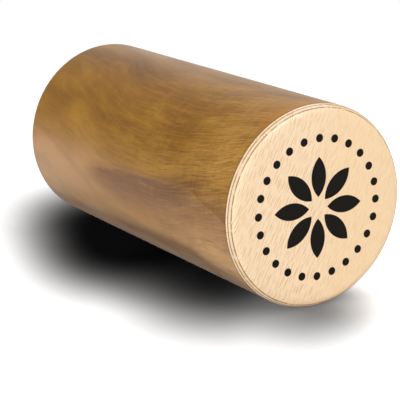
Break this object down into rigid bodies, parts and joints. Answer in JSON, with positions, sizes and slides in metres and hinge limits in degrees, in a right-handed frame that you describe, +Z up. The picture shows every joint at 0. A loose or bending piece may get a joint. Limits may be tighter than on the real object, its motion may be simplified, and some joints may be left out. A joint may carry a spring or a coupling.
{
  "type": "wooden shaker",
  "caption": "Cylindrical wooden hand shaker: a veneered tube closed by two plywood discs with rounded edges, part filled with loose beads that slide along it.",
  "frame": {"origin": "middle of the shaker's length, on the surface that it lies on, under the tube's axis", "axes": "+X along the tube's axis towards the front disc, +Z up, +Y across the tube"},
  "size_m": [0.1368, 0.064, 0.064],
  "materials": {
    "veneer": "satin lacquer over brown figured veneer",
    "tube_ply": "bare pale wood",
    "disc_ply": "sanded pale beech, sealed",
    "disc_cross_ply": "sanded end grain, sealed",
    "disc_face": "satin sealed beech with fine brown flecks",
    "bead": "smooth"
  },
  "bodies": {
    "shell": {"tube_veneer": "veneer", "tube_core": "tube_ply", "tube_liner": "tube_ply", "front_back_ply": "disc_ply", "front_cross_ply": "disc_cross_ply", "front_face_ply": "disc_face", "rear_back_ply": "disc_ply", "rear_cross_ply": "disc_cross_ply", "rear_face_ply": "disc_face"},
    "bottom_beads": {"bead_row_bottom_1": "bead", "bead_row_bottom_2": "bead", "bead_row_bottom_3": "bead"},
    "middle_beads": {"bead_row_middle_1": "bead", "bead_row_middle_2": "bead", "bead_row_middle_3": "bead", "bead_row_middle_4": "bead", "bead_row_middle_5": "bead", "bead_row_middle_6": "bead"},
    "top_beads": {"bead_row_top_1": "bead", "bead_row_top_2": "bead", "bead_row_top_3": "bead", "bead_row_top_4": "bead", "bead_row_top_5": "bead", "bead_row_top_6": "bead", "bead_row_top_7": "bead"}
  },
  "joints": [
    {"name": "bottom_beads_slide", "type": "slide", "parent": "shell", "child": "bottom_beads", "axis": [1, 0, 0], "range_m": [-0.015, 0.015]},
    {"name": "middle_beads_slide", "type": "slide", "parent": "shell", "child": "middle_beads", "axis": [1, 0, 0], "range_m": [-0.0214, 0.0214]},
    {"name": "top_beads_slide", "type": "slide", "parent": "shell", "child": "top_beads", "axis": [1, 0, 0], "range_m": [-0.0277, 0.0277]}
  ]
}
